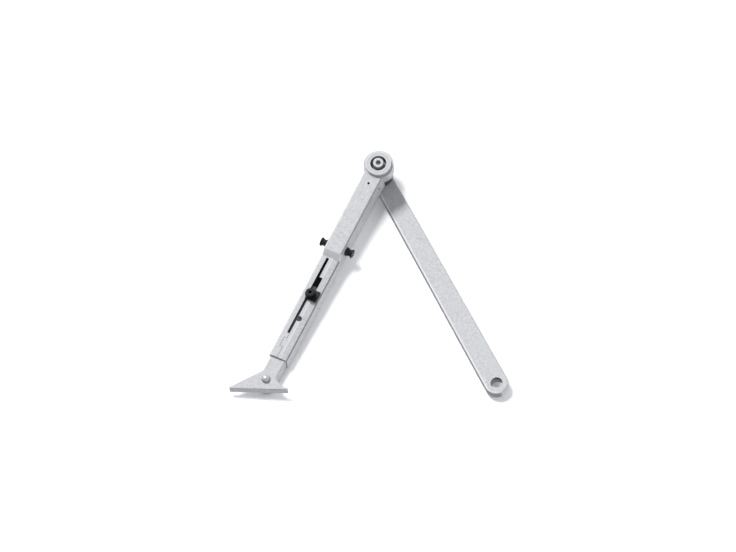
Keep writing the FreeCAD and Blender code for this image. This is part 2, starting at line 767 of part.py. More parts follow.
def plunger():
    """Fork that carries the roller, with the tail that the switch pulls."""
    body = new_body("plunger", elbow_spot(), FORE_YAW)
    half = CAVITY_HALF_WIDTH - S.side_play
    fork = new_sketch(body, "fork_block", level=FORK_BOTTOM)
    draw_box(fork, (S.fork_front, -half), (S.block_rear, half))
    pad(body, fork, FORK_TOP - FORK_BOTTOM)
    block = new_sketch(body, "rear_block", level=FORK_BOTTOM)
    draw_box(block, (S.block_front, -half), (S.block_rear, half))
    pad(body, block, BLOCK_TOP - FORK_BOTTOM)
    tail = new_sketch(body, "tail_round", "YZ_Plane", level=S.block_rear, rise=S.switch_height)
    draw_circle(tail, (ZERO, ZERO), S.tail_radius)
    pad(body, tail, SWITCH_PLACE - YOKE_FRONT - S.block_rear)
    seat = new_sketch(body, "roller_seat", level=ROLLER_BOTTOM - S.roller_play)
    reach = S.roller_radius + S.side_play
    draw_box(seat, (S.cam_radius, -reach), (ROLLER_PLACE + reach, reach))
    pocket(body, seat, S.roller_height + S.roller_play * 2)
    axle = new_sketch(body, "axle_hole", level=FORK_BOTTOM)
    draw_circle(axle, (ROLLER_PLACE, ZERO), S.axle_radius)
    pocket(body, axle, FORK_TOP - FORK_BOTTOM)


def roller():
    spot = fore_spot(ROLLER_PLACE)
    turned("roller_axle", spot, FORE_YAW, [
        (ZERO, FORK_BOTTOM), (S.axle_radius, FORK_BOTTOM),
        (S.axle_radius, FORK_TOP), (ZERO, FORK_TOP)])
    bore = S.axle_radius + S.running_play
    top = ROLLER_BOTTOM + S.roller_height
    edge = S.cam_edge
    turned("detent_roller", spot, FORE_YAW, [
        (bore, ROLLER_BOTTOM), (S.roller_radius - edge, ROLLER_BOTTOM),
        (S.roller_radius, ROLLER_BOTTOM + edge), (S.roller_radius, top - edge),
        (S.roller_radius - edge, top), (bore, top)])


def spring_seat():
    body = new_body("spring_seat", elbow_spot(), FORE_YAW)
    wall = new_sketch(body, "seat_wall", "YZ_Plane", level=SEAT_PLACE)
    half = CAVITY_HALF_WIDTH
    draw_box(wall, (-half, CAVITY_FLOOR), (half, CAVITY_ROOF))
    draw_circle(wall, (ZERO, S.switch_height), S.tail_radius + S.side_play)
    pad(body, wall, S.seat_thick)


def fixed_piece(name, shape, spot):
    item = document.addObject("Part::Feature", name)
    item.Label = name
    item.Shape = shape
    place(item, spot, FORE_YAW)
    finished.append(item)


def detent_spring():
    """A compression coil round the tail of the plunger, closed against its seat."""
    wire = S.spring_wire.number
    length = SPRING_LENGTH.number - 2 * wire
    radius = S.spring_radius.number
    helix = Part.makeHelix(length / S.spring_turns.number, length, radius)
    start = Part.makeCircle(wire, Vector(radius, 0, 0), Vector(0, 1, 0))
    coil = Part.Wire(helix.Edges).makePipeShell([Part.Wire(start)], True, True)
    first = (SEAT_PLACE - SPRING_LENGTH).number + wire
    lying = Placement(Vector(first, 0, S.switch_height.number),
                      Rotation(Vector(0, 1, 0), RIGHT_ANGLE))
    fixed_piece("detent_spring", coil.transformShape(lying.toMatrix(), True), elbow_spot())


def pull_yoke():
    """Frame round the switch shaft: its rear wall is pushed back by the shaft's lobe."""
    body = new_body("pull_yoke", fore_spot(SWITCH_PLACE), FORE_YAW)
    lobe_low = S.switch_radius + S.side_play
    rim = S.yoke_rim
    frame = new_sketch(body, "yoke_frame", "XZ_Plane", rise=S.switch_height)
    draw_box(frame, (-(YOKE_FRONT + rim), -(lobe_low + rim)),
             (YOKE_REAR + S.yoke_rear_wall, LOBE_TOP + rim))
    draw_box(frame, (-YOKE_FRONT, -lobe_low), (YOKE_REAR, LOBE_TOP))
    pad(body, frame, S.yoke_half_width * 2, both_ways=True)
    hole = new_sketch(body, "yoke_tail_hole", "YZ_Plane",
                      level=-(YOKE_FRONT + rim), rise=S.switch_height)
    draw_circle(hole, (ZERO, ZERO), S.tail_radius)
    pocket(body, hole, rim)


def lobe_face():
    """Outline of the lobe: an involute, so that its reach grows evenly with the turn."""
    turn = math.radians(S.switch_throw.number)
    rate = LOBE_RATE.number
    rest = S.lobe_rest.number
    height = S.switch_height.number
    points = []
    for index in range(LOBE_STEPS + 1):
        angle = turn * index / LOBE_STEPS
        reach = rest + rate * angle
        points.append(Vector(reach * math.cos(angle) - rate * math.sin(angle), 0,
                             height + reach * math.sin(angle) + rate * math.cos(angle)))
    curve = Part.BSplineCurve()
    curve.interpolate(points)
    shaft = S.switch_radius.number
    corners = [points[-1], Vector(-shaft, 0, height), Vector(0, 0, height - shaft),
               Vector(shaft, 0, height), points[0]]
    sides = [Part.makeLine(corners[i], corners[i + 1]) for i in range(len(corners) - 1)]
    return Part.Face(Part.Wire([curve.toShape()] + sides))


def switch_shaft():
    half = S.lobe_half_width.number
    face = lobe_face()
    face.Placement = Placement(Vector(0, -half, 0), Rotation())
    lobe = face.extrude(Vector(0, 2 * half, 0))
    reach = (S.knob_start + S.knob_length - S.knob_edge).number
    shaft = Part.makeCylinder(S.switch_radius.number, 2 * reach,
                              Vector(0, -reach, S.switch_height.number), Vector(0, 1, 0))
    fixed_piece("switch_shaft", shaft.fuse(lobe).removeSplitter(), fore_spot(SWITCH_PLACE))


def switch_knob(name, side):
    """A waisted knob of black plastic, pushed on one end of the shaft."""
    body = new_body(name, fore_spot(SWITCH_PLACE), FORE_YAW)
    profile = new_sketch(body, name + "_profile", "YZ_Plane", rise=S.switch_height)
    near_end = S.knob_start * side
    far_end = (S.knob_start + S.knob_length) * side
    middle = (S.knob_start + S.knob_length / 2) * side
    edge = S.knob_edge * side
    floor = far_end - edge
    draw_polygon(profile, [
        (near_end, S.switch_radius), (near_end, S.knob_radius - S.knob_edge),
        (near_end + edge, S.knob_radius), (near_end + edge * 2, S.knob_radius),
        (middle - edge * 2, S.knob_waist_radius), (middle + edge * 2, S.knob_waist_radius),
        (far_end - edge * 2, S.knob_radius), (far_end - edge, S.knob_radius),
        (far_end, S.knob_radius - S.knob_edge), (far_end, ZERO),
        (floor, ZERO), (floor, S.switch_radius)])
    revolve(body, profile, "H_Axis")


def slide_rod():
    body = new_body("slide_rod", fore_spot(FORE_LENGTH), FORE_YAW)
    half = S.rod_half_width
    outline = new_sketch(body, "rod_outline", level=ROD_BOTTOM)
    draw_box(outline, (-ROD_LENGTH, -half), (ZERO, half))
    pad(body, outline, ROD_TOP - ROD_BOTTOM)
    end = new_sketch(body, "rod_end", level=ROD_BOTTOM)
    draw_circle(end, (ZERO, ZERO), half)
    pad(body, end, ROD_TOP - ROD_BOTTOM)
    fillet(body, S.rod_round, lambda edge: flat_at(edge, ROD_TOP)
           and edge.BoundBox.XMax > -ROD_LENGTH.number + TOLERANCE)
    hole = new_sketch(body, "rivet_hole", level=ROD_BOTTOM)
    draw_circle(hole, (ZERO, ZERO), S.rivet_radius)
    pocket(body, hole, ROD_TOP - ROD_BOTTOM)


def rivet_set():
    spot = fore_spot(FORE_LENGTH)
    turned("rivet_washer", spot, FORE_YAW, [
        (S.rivet_radius, ROD_TOP), (S.rivet_washer_radius, ROD_TOP),
        (S.rivet_washer_radius, ROD_TOP + S.rivet_washer_height),
        (S.rivet_radius, ROD_TOP + S.rivet_washer_height)])
    body = new_body("foot_rivet", spot, FORE_YAW)
    profile = new_sketch(body, "rivet_profile", "XZ_Plane")
    seat = LUG_TOP + S.running_play
    draw_dome(profile, seat)
    revolve(body, profile)


def draw_dome(sketch, seat):
    """Half section of the rivet: flat foot, shank and a domed head drawn as one arc."""
    radius = S.rivet_head_radius
    height = S.rivet_head_height
    sphere = (radius * radius + height * height) / (height * 2)
    centre_height = seat + height - sphere
    start = math.atan2(seat.number - centre_height.number, radius.number)
    arc = sketch.addGeometry(Part.ArcOfCircle(
        Part.Circle(Vector(0, centre_height.number, 0), Vector(0, 0, 1), sphere.number),
        start, math.pi / 2))
    bottom = ROD_BOTTOM - S.rivet_foot_height
    corners = [(ZERO, seat + height), (ZERO, bottom), (S.rivet_foot_radius, bottom),
               (S.rivet_foot_radius, ROD_BOTTOM), (S.rivet_radius, ROD_BOTTOM),
               (S.rivet_radius, seat), (radius, seat)]
    lines = []
    for first, second in zip(corners, corners[1:]):
        lines.append(sketch.addGeometry(Part.LineSegment(flat_vector(first), flat_vector(second))))
    for first, second in zip(lines, lines[1:]):
        sketch.addConstraint(Sketcher.Constraint("Coincident", first, 2, second, 1))
    for line, corner in zip(lines, corners):
        pin_point(sketch, line, 1, *corner)
    pin_point(sketch, lines[-1], 2, *corners[-1])
    sketch.addConstraint(Sketcher.Constraint("Coincident", arc, 1, lines[-1], 2))
    sketch.addConstraint(Sketcher.Constraint("Coincident", arc, 2, lines[0], 1))
    bind(sketch, "DistanceX", (-1, 1, arc, CENTRE_INDEX), ZERO)


def foot_bracket():
    """Pressed foot: a lug that turns on the rivet, bent down into a fixing flange."""
    body = new_body("foot_bracket", fore_spot(FORE_LENGTH), -S.foot_turn)
    left, right, front = -S.foot_left, S.foot_right, -S.foot_front
    shoulder = front + S.lug_corner_depth
    lug = new_sketch(body, "lug_outline", level=LUG_BOTTOM)
    draw_polygon(lug, [
        (left, front), (right, front), (right, shoulder), (S.lug_shoulder, shoulder),
        (S.lug_waist_x, -S.lug_waist_y), (S.lug_radius, ZERO), (ZERO, ZERO),
        (-(S.lug_radius / 2), S.lug_radius * cosine(as_size(LUG_TANGENT_ANGLE))), (left, shoulder)])
    pad(body, lug, S.foot_thick)
    eye = new_sketch(body, "lug_eye", level=LUG_BOTTOM)
    draw_circle(eye, (ZERO, ZERO), S.lug_radius)
    pad(body, eye, S.foot_thick)
    flange = new_sketch(body, "fixing_flange", level=LUG_TOP - S.flange_height)
    draw_box(flange, (left, front), (right, front + S.foot_thick))
    pad(body, flange, S.flange_height)
    shear = new_sketch(body, "sheared_ends", level=LUG_TOP - S.flange_height)
    slant = ((S.lug_radius * cosine(as_size(LUG_TANGENT_ANGLE)) - shoulder)
             / (S.foot_left - S.lug_radius / 2))
    draw_polygon(shear, [
        (left, shoulder), (left + S.foot_thick * 2, shoulder + slant * S.foot_thick * 2),
        (left, shoulder + slant * S.foot_thick * 2)])
    pocket(body, shear, S.flange_height)
    fillet(body, S.flange_bend, lambda edge: along_x(edge, front, LUG_TOP))
    hole = new_sketch(body, "lug_hole", level=LUG_BOTTOM)
    draw_circle(hole, (ZERO, ZERO), S.rivet_radius + S.running_play)
    pocket(body, hole, S.foot_thick)


def check_and_write():
    document.recompute()
    for item in document.Objects:
        if "Invalid" in item.State or "Error" in item.State:
            raise RuntimeError("%s failed" % item.Label)
    os.makedirs(PARTS_FOLDER, exist_ok=True)
    for item in finished:
        shape = item.Shape
        if shape.isNull() or not shape.isValid() or not shape.Solids:
            raise RuntimeError("%s has no valid shape" % item.Label)
        shape.exportStep(os.path.join(PARTS_FOLDER, item.Label + ".step"))
        print("%-20s %9.1f mm3 %d solid(s)" % (item.Label, shape.Volume, len(shape.Solids)))


main_arm()
elbow_stack()
detent_cam()
pivot_screw()
elbow_block()
elbow_housing()
elbow_trim()
roll_pin()
cross_pin()
adjustment_sleeve()
clamp()
plunger()
roller()
spring_seat()
detent_spring()
pull_yoke()
switch_shaft()
switch_knob("switch_knob_left", -1)
switch_knob("switch_knob_right", 1)
slide_rod()
rivet_set()
foot_bracket()
check_and_write()
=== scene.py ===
import json
import math

import bpy
from mathutils import Matrix, Vector


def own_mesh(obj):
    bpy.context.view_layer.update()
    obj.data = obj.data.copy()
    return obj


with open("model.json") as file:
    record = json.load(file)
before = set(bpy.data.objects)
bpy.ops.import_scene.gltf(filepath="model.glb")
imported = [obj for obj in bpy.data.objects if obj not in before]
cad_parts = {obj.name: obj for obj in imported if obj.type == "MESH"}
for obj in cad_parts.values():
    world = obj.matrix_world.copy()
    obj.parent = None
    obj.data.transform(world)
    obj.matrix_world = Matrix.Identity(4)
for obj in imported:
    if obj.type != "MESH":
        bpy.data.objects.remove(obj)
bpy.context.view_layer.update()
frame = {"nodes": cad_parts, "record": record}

NODES = frame["nodes"]
JOINTS = {joint["name"]: joint for joint in frame["record"]["behaviour"]["joints"]}
ELBOW = Vector(JOINTS["elbow_turn"]["pos_m"])
RIVET = Vector(JOINTS["foot_turn"]["pos_m"])
SPINDLE = Vector((0, 0, 0))

# The forearm's directions: from the elbow to the foot, to its right, and up
ALONG = Vector(JOINTS["rod_slide"]["axis"])
ACROSS = Vector(JOINTS["switch_turn"]["axis"])
UPWARD = Vector((0, 0, 1))

# Where the bar's sides and the outer face of the foot's flange look, both darkened as painted
# shade
BAR_FRONT = Vector((-0.71, -0.71, 0))
FOOT_FRONT = Vector((-0.066, -0.998, 0))

# Camera, in metres and in the photograph's pixels
IMAGE_WIDTH, IMAGE_HEIGHT = 736, 552
METRES_PER_PIXEL = 0.001
ELEVATION = math.radians(62.1)
REST_TILT = math.radians(-5.0)
BAR_ANGLE = math.radians(26.35)
SPINDLE_PIXEL = (497.1, 386.7)
CAMERA_DISTANCE = 2.0

# Floor and light; a direction points from the object to the lamp, softness is in degrees
FLOOR_HALF = 6.0
FLOOR_GAP = 0.0001
FLOOR_TONE = 0.93
KEY_DIRECTION = (-0.52, 1.02, 1.0)
KEY_STRENGTH, KEY_SOFTNESS = 4.05, 12.0
OVERHEAD_DIRECTION = (-0.25, 0.2, 1.0)
OVERHEAD_STRENGTH, OVERHEAD_SOFTNESS = 3.3, 18.0
WORLD_SLOPE = (0.8, -0.15, -0.6)
WORLD_SLOPE_RANGE = (-0.6, 0.9)
WORLD_STRENGTHS = (0.48, 1.5)
WORLD_TINT = (0.985, 1.0, 1.025)

# Places on the forearm, in metres: along from the elbow, across to the right, and height
SLEEVE_END = 0.231
PAINT_REACH, PAINT_RAGGED = 0.0035, 0.0004
HALF_WIDTH = 0.0099
HOUSING_TOP = 0.0341
SLEEVE_TOP = 0.0286
FLANGE_FALL = 0.0006
EDGE_ROUND = 0.0016
RIDGE_LEFT, RIDGE_RIGHT = 0.0018, 0.0028
RIDGE_BOTTOM = 0.0281
INSIDE_HALF_WIDTH = 0.0082
INSIDE_BOTTOM, INSIDE_TOP = 0.0108, 0.0279

# Radii in metres round the spindle, the rivet and the elbow, and marks in radians per metre
SPINDLE_SEAT_CLEAR = 0.0088
RIVET_EDGE = 0.0038
GROOVE_INNER, GROOVE_OUTER = 0.0103, 0.0113
RING_RIM = 0.0119
TURNING_MARKS = 9000.0

# Paint: its tone and tint, and how much brighter it is on edges, for wear and painted highlight,
# and on the housing's ramp, as painted light
PAINT_TONE = 0.375
PAINT_TINT = (0.985, 1.0, 1.035)
RUBBED_AND_LIT = 1.5

# Painted shade: tones that multiply a colour, matched to the photograph where light alone leaves
# it too pale
BAR_SIDE_SHADE = (0.36, 0.36, 0.37)
FLANGE_SHADE = (0.7, 0.7, 0.72)
RIVET_EDGE_SHADE = (0.4, 0.4, 0.41)
GROOVE_SHADE = (0.88, 0.88, 0.89)
HOUSING_EDGE_SHADE = 0.62
SLEEVE_EDGE_SHADE = 0.5

# Dark colour inside the sleeve, and on the rod where the sleeve covers it
SLEEVE_INSIDE_DARK = (0.05, 0.05, 0.053)
ROD_COVERED_DARK = (0.055, 0.055, 0.06)

# The small bevel on sharp edges
EDGE_BEVEL = 0.00015
EDGE_BEVEL_ANGLE = math.radians(35)

# Nearly all of a noise texture's values lie between these
NOISE_LOW, NOISE_HIGH = 0.3, 0.7

# A Mix node's sockets for two colours and their mixture
MIX_FIRST, MIX_SECOND, MIX_RESULT = 6, 7, 2


def new_material(name):
    material = bpy.data.materials.new(name)
    material.use_nodes = True
    tree = material.node_tree
    tree.nodes.clear()
    output = tree.nodes.new("ShaderNodeOutputMaterial")
    shader = tree.nodes.new("ShaderNodeBsdfPrincipled")
    tree.links.new(shader.outputs["BSDF"], output.inputs["Surface"])
    return material, tree, shader


def coordinates(tree, kind="Object"):
    return tree.nodes.new("ShaderNodeTexCoord").outputs[kind]


def scaled_coordinates(tree, scale):
    mapping = tree.nodes.new("ShaderNodeMapping")
    mapping.inputs["Scale"].default_value = scale
    tree.links.new(coordinates(tree), mapping.inputs["Vector"])
    return mapping.outputs["Vector"]


def noise(tree, vector, scale, detail=2.0, roughness=0.5):
    node = tree.nodes.new("ShaderNodeTexNoise")
    node.inputs["Scale"].default_value = scale
    node.inputs["Detail"].default_value = detail
    node.inputs["Roughness"].default_value = roughness
    tree.links.new(vector, node.inputs["Vector"])
    return node.outputs["Fac"]


def map_range(tree, value, low, high, to_low, to_high):
    node = tree.nodes.new("ShaderNodeMapRange")
    node.inputs["From Min"].default_value = low
    node.inputs["From Max"].default_value = high
    node.inputs["To Min"].default_value = to_low
    node.inputs["To Max"].default_value = to_high
    tree.links.new(value, node.inputs["Value"])
    return node.outputs["Result"]


def spread(tree, texture, to_low, to_high):
    """Spreads a noise texture's values between two numbers."""
    return map_range(tree, texture, NOISE_LOW, NOISE_HIGH, to_low, to_high)


def rise(tree, value, start, full):
    """A mask that rises from zero at the start to one at the full value."""
    return map_range(tree, value, start, full, 0, 1)


def above(tree, value, level, soft=0.0001):
    """A mask that is one where the value is over the level."""
    return rise(tree, value, level - soft, level + soft)


def below(tree, value, level, soft=0.0001):
    """A mask that is one where the value is under the level."""
    return map_range(tree, value, level - soft, level + soft, 1, 0)


def combine(tree, operation, first, second):
    """A Math node on two sockets, or on a socket and a number."""
    node = tree.nodes.new("ShaderNodeMath")
    node.operation = operation
    tree.links.new(first, node.inputs[0])
    if isinstance(second, (int, float)):
        node.inputs[1].default_value = second
    else:
        tree.links.new(second, node.inputs[1])
    return node.outputs["Value"]


def product(tree, *values):
    """The product of sockets, or of a socket and numbers. Of masks, it is where all are one."""
    result = values[0]
    for value in values[1:]:
        result = combine(tree, "MULTIPLY", result, value)
    return result


def dot(tree, first, second):
    """The dot product of a vector socket and another, or three numbers."""
    node = tree.nodes.new("ShaderNodeVectorMath")
    node.operation = "DOT_PRODUCT"
    tree.links.new(first, node.inputs[0])
    if isinstance(second, bpy.types.NodeSocket):
        tree.links.new(second, node.inputs[1])
    else:
        node.inputs[1].default_value = second
    return node.outputs["Value"]


def mix_colours(tree, factor, first, second, blend="MIX"):
    """Mixes two colours, each a socket or three numbers."""
    node = tree.nodes.new("ShaderNodeMix")
    node.data_type = "RGBA"
    node.blend_type = blend
    tree.links.new(factor, node.inputs["Factor"])
    for place, colour in ((MIX_FIRST, first), (MIX_SECOND, second)):
        if isinstance(colour, tuple):
            node.inputs[place].default_value = (*colour, 1)
        else:
            tree.links.new(colour, node.inputs[place])
    return node.outputs[MIX_RESULT]


def darken(tree, mask, colour, tone):
    """Multiplies a colour by a tone where the mask is one."""
    return mix_colours(tree, mask, colour, tone, blend="MULTIPLY")


def paint(level):
    """The paint's colour at a level times its usual tone."""
    return tuple(PAINT_TONE * level * part for part in PAINT_TINT)


def add_bump(tree, shader, height, strength, distance, before=None):
    node = tree.nodes.new("ShaderNodeBump")
    node.inputs["Strength"].default_value = strength
    node.inputs["Distance"].default_value = distance
    tree.links.new(height, node.inputs["Height"])
    if before is not None:
        tree.links.new(before, node.inputs["Normal"])
    tree.links.new(node.outputs["Normal"], shader.inputs["Normal"])
    return node.outputs["Normal"]


def distance_along(tree, axis, start=SPINDLE):
    """How far a point of the object lies along an axis from a start point."""
    return combine(tree, "SUBTRACT", dot(tree, coordinates(tree), axis), start.dot(axis))


def distance_from(tree, centre):
    """How far a point of the object lies from the vertical axis through a centre."""
    flat = tree.nodes.new("ShaderNodeVectorMath")
    flat.operation = "MULTIPLY"
    flat.inputs[1].default_value = (1, 1, 0)
    tree.links.new(coordinates(tree), flat.inputs[0])
    node = tree.nodes.new("ShaderNodeVectorMath")
    node.operation = "DISTANCE"
    node.inputs[1].default_value = (centre.x, centre.y, 0)
    tree.links.new(flat.outputs["Vector"], node.inputs[0])
    return node.outputs["Value"]


def facing(tree, direction, start, full):
    """A mask of the faces that look in a direction of the object's frame."""
    return rise(tree, dot(tree, coordinates(tree, "Normal"), direction), start, full)


def rounded_normal(tree, radius, samples):
    """The normal as it would be if the edges were rounded."""
    bevel = tree.nodes.new("ShaderNodeBevel")
    bevel.samples = samples
    bevel.inputs["Radius"].default_value = radius
    return bevel.outputs["Normal"]


def edge_mask(tree, radius):
    """A mask of the outer edges, for wear and a painted highlight along them."""
    normal = tree.nodes.new("ShaderNodeNewGeometry").outputs["Normal"]
    likeness = dot(tree, rounded_normal(tree, radius, samples=4), normal)
    return map_range(tree, likeness, 0.86, 0.99, 1, 0)


def silver_paint(name, shade=None, peel=0.5):
    """Silver lacquer: mottled flakes, orange peel, thin bright edges that are partly wear and
    partly painted highlight; shade adds local tones, mostly painted shade and painted
    highlights.
    """
    material, tree, shader = new_material(name)
    place = coordinates(tree)
    mottle = noise(tree, place, scale=420.0, detail=3.0, roughness=0.72)
    flakes = noise(tree, place, scale=2100.0, detail=1.0)
    cloud = noise(tree, place, scale=60.0, detail=1.0)
    colour = mix_colours(tree, rise(tree, mottle, 0.32, 0.68), paint(0.8), paint(1.17))
    colour = mix_colours(tree, spread(tree, cloud, 0, 0.5), colour, paint(1.04))
    # Edges lighter: partly wear, partly a painted highlight
    worn_and_highlit = product(tree, edge_mask(tree, radius=0.0006), 0.5)
    colour = mix_colours(tree, worn_and_highlit, colour, paint(RUBBED_AND_LIT))
    rough = spread(tree, flakes, 0.5, 0.68)
    if shade is not None:
        colour, rough = shade(tree, colour, rough)
    tree.links.new(colour, shader.inputs["Base Color"])
    tree.links.new(rough, shader.inputs["Roughness"])
    shader.inputs["Metallic"].default_value = 0.2
    shader.inputs["Coat Weight"].default_value = 0.1
    shader.inputs["Coat Roughness"].default_value = 0.25
    soft = add_bump(tree, shader, mottle, strength=0.3, distance=0.00008 * peel)
    add_bump(tree, shader, flakes, strength=0.2, distance=0.00002 * peel, before=soft)
    return material


def bar_shade(tree, colour, rough):
    """Painted shade on the sides toward the left and the front, under a painted highlight along
    the rim.
    """
    side = facing(tree, BAR_FRONT, start=0.25, full=0.5)
    # Painted shade on the sides facing left and front
    colour = darken(tree, side, colour, BAR_SIDE_SHADE)
    # Painted highlight along the rim of the bar's top
    turned = dot(tree, rounded_normal(tree, radius=0.0024, samples=8), BAR_FRONT)
    rim = product(tree, rise(tree, turned, 0.03, 0.2), facing(tree, UPWARD, start=0.5, full=0.8),
                  above(tree, distance_from(tree, SPINDLE), SPINDLE_SEAT_CLEAR, soft=0.0003))
    return mix_colours(tree, rim, colour, paint(1.55)), rough


def painted_edge_shade(tree, colour, top, tone):
    """Painted shade: a dark line along the rounded top edge on the forearm's right side."""
    across = distance_along(tree, ACROSS, ELBOW)
    height = distance_along(tree, UPWARD)
    line = product(tree, above(tree, across, HALF_WIDTH - EDGE_ROUND * 0.75, soft=0.0004),
                   above(tree, height, top - EDGE_ROUND * 0.8, soft=0.0003))
    # Painted shade along the rounded edge
    return darken(tree, line, colour, (tone, tone, tone * 1.02))


def housing_shade(tree, colour, rough):
    """Painted shade as a dark line on the right edge, and painted light on the ramp at the end.
    """
    colour = painted_edge_shade(tree, colour, HOUSING_TOP, HOUSING_EDGE_SHADE)
    # Painted light: the ramp facing along the forearm is brightened
    ramp = product(tree, facing(tree, ALONG, start=0.25, full=0.4),
                   facing(tree, UPWARD, start=0.1, full=0.2))
    return mix_colours(tree, ramp, colour, paint(RUBBED_AND_LIT)), rough


def sleeve_shade(tree, colour, rough):
    """Painted shade as a dark line on the right edge, a painted highlight on the ridge by the
    slot, and a dark colour inside.
    """
    colour = painted_edge_shade(tree, colour, SLEEVE_TOP - FLANGE_FALL, SLEEVE_EDGE_SHADE)
    along = distance_along(tree, ALONG, ELBOW)
    across = distance_along(tree, ACROSS, ELBOW)
    height = distance_along(tree, UPWARD)
    # Painted highlight along the ridge
    ridge = product(tree, above(tree, across, RIDGE_LEFT, soft=0.0004),
                    below(tree, across, RIDGE_RIGHT, soft=0.0004),
                    above(tree, height, RIDGE_BOTTOM), 0.6)
    colour = mix_colours(tree, ridge, colour, paint(1.4))
    # Darker inside the sleeve
    inside = product(tree, above(tree, across, -INSIDE_HALF_WIDTH),
                     below(tree, across, INSIDE_HALF_WIDTH),
                     above(tree, height, INSIDE_BOTTOM),
                     below(tree, height, INSIDE_TOP, soft=0.0002),
                     below(tree, along, SLEEVE_END - PAINT_REACH))
    return mix_colours(tree, inside, colour, SLEEVE_INSIDE_DARK), rough


def rod_shade(tree, colour, rough):
    """The rod is dark where the sleeve covers it, and silver where it leaves the sleeve."""
    ragged = noise(tree, coordinates(tree), scale=700.0)
    along = combine(tree, "ADD", distance_along(tree, ALONG, ELBOW),
                    spread(tree, ragged, -PAINT_RAGGED, PAINT_RAGGED))
    covered = below(tree, along, SLEEVE_END - PAINT_REACH, soft=0.0003)
    colour = mix_colours(tree, covered, colour, ROD_COVERED_DARK)
    return colour, combine(tree, "MAXIMUM", rough, product(tree, covered, 0.9))


def ring_shade(tree, colour, rough):
    """Faint turning marks, a band of painted shade as in a groove, and a painted highlight along
    the rim, round the elbow's axis.
    """
    radius = distance_from(tree, ELBOW)
    wave = combine(tree, "SINE", product(tree, radius, TURNING_MARKS), 0.0)
    colour = mix_colours(tree, map_range(tree, wave, -1, 1, 0, 0.2), colour, paint(1.3))
    groove = product(tree, above(tree, radius, GROOVE_INNER, soft=0.0003),
                     below(tree, radius, GROOVE_OUTER, soft=0.0003))
    # Painted shade in the groove's band
    colour = darken(tree, groove, colour, GROOVE_SHADE)
    # Painted highlight along the outer rim
    rim = product(tree, above(tree, radius, RING_RIM, soft=0.0002), 0.6)
    return mix_colours(tree, rim, colour, paint(1.4)), rough


def foot_shade(tree, colour, rough):
    """Painted shade: the flange's outer face is darker than the rest of the foot."""
    face = facing(tree, FOOT_FRONT, start=0.6, full=0.8)
    return darken(tree, face, colour, FLANGE_SHADE), rough


def rivet_shade(tree, colour, rough):
    """Painted shade: a dark line round the foot of the rivet's head."""
    edge = above(tree, distance_from(tree, RIVET), RIVET_EDGE, soft=0.0006)
    return darken(tree, edge, colour, RIVET_EDGE_SHADE), rough


def bare_metal(name, tone, rough, metallic=0.8, shade=None):
    """Plated or ground steel: cloudy colour, and fine marks that vary the gloss."""
    material, tree, shader = new_material(name)
    marks = noise(tree, scaled_coordinates(tree, (1, 1, 12)), scale=400.0, detail=3.0)
    clouds = noise(tree, coordinates(tree), scale=260.0)
    colour = mix_colours(tree, clouds, (tone * 0.82, tone * 0.83, tone * 0.85),
                         (tone * 1.12, tone * 1.13, tone * 1.16))
    # Edges lighter: partly wear, partly a painted highlight
    worn_and_highlit = product(tree, edge_mask(tree, radius=0.0004), 0.4)
    colour = mix_colours(tree, worn_and_highlit, colour, (tone * 1.8, tone * 1.8, tone * 1.8))
    gloss = spread(tree, marks, rough * 0.8, rough * 1.35)
    if shade is not None:
        colour, gloss = shade(tree, colour, gloss)
    tree.links.new(colour, shader.inputs["Base Color"])
    tree.links.new(gloss, shader.inputs["Roughness"])
    shader.inputs["Metallic"].default_value = metallic
    add_bump(tree, shader, marks, strength=0.2, distance=0.00003)
    return material


def black_plastic(name):
    """Moulded black plastic with a fine spark-eroded grain."""
    material, tree, shader = new_material(name)
    grain = noise(tree, coordinates(tree), scale=2600.0)
    cloud = noise(tree, coordinates(tree), scale=300.0)
    colour = mix_colours(tree, cloud, (0.003, 0.003, 0.0035), (0.008, 0.008, 0.009))
    tree.links.new(colour, shader.inputs["Base Color"])
    tree.links.new(spread(tree, grain, 0.42, 0.62), shader.inputs["Roughness"])
    shader.inputs["Specular IOR Level"].default_value = 0.25
    add_bump(tree, shader, grain, strength=0.35, distance=0.00004)
    return material


def black_oxide(name):
    """Blackened steel, cloudy, and brighter along its edges, partly from wear and partly as a
    painted highlight.
    """
    material, tree, shader = new_material(name)
    cloud = noise(tree, coordinates(tree), scale=700.0, detail=4.0)
    colour = mix_colours(tree, cloud, (0.004, 0.004, 0.0045), (0.016, 0.0155, 0.016))
    # Edges lighter: partly wear, partly a painted highlight
    worn_and_highlit = product(tree, edge_mask(tree, radius=0.0003), 0.35)
    colour = mix_colours(tree, worn_and_highlit, colour, (0.11, 0.11, 0.115))
    tree.links.new(colour, shader.inputs["Base Color"])
    tree.links.new(spread(tree, cloud, 0.38, 0.55), shader.inputs["Roughness"])
    shader.inputs["Metallic"].default_value = 0.5
    shader.inputs["Specular IOR Level"].default_value = 0.3
    add_bump(tree, shader, cloud, strength=0.2, distance=0.00003)
    return material


def bronze(name):
    """Sintered bronze: fine open pores filled with oil."""
    material, tree, shader = new_material(name)
    pores = noise(tree, coordinates(tree), scale=3200.0, detail=3.0)
    colour = mix_colours(tree, pores, (0.12, 0.08, 0.04), (0.3, 0.2, 0.1))
    tree.links.new(colour, shader.inputs["Base Color"])
    tree.links.new(spread(tree, pores, 0.35, 0.6), shader.inputs["Roughness"])
    shader.inputs["Metallic"].default_value = 1.0
    add_bump(tree, shader, pores, strength=0.4, distance=0.00004)
    return material


def dress(material, *names):
    for name in names:
        node = NODES[name]
        node.data.materials.clear()
        node.data.materials.append(material)


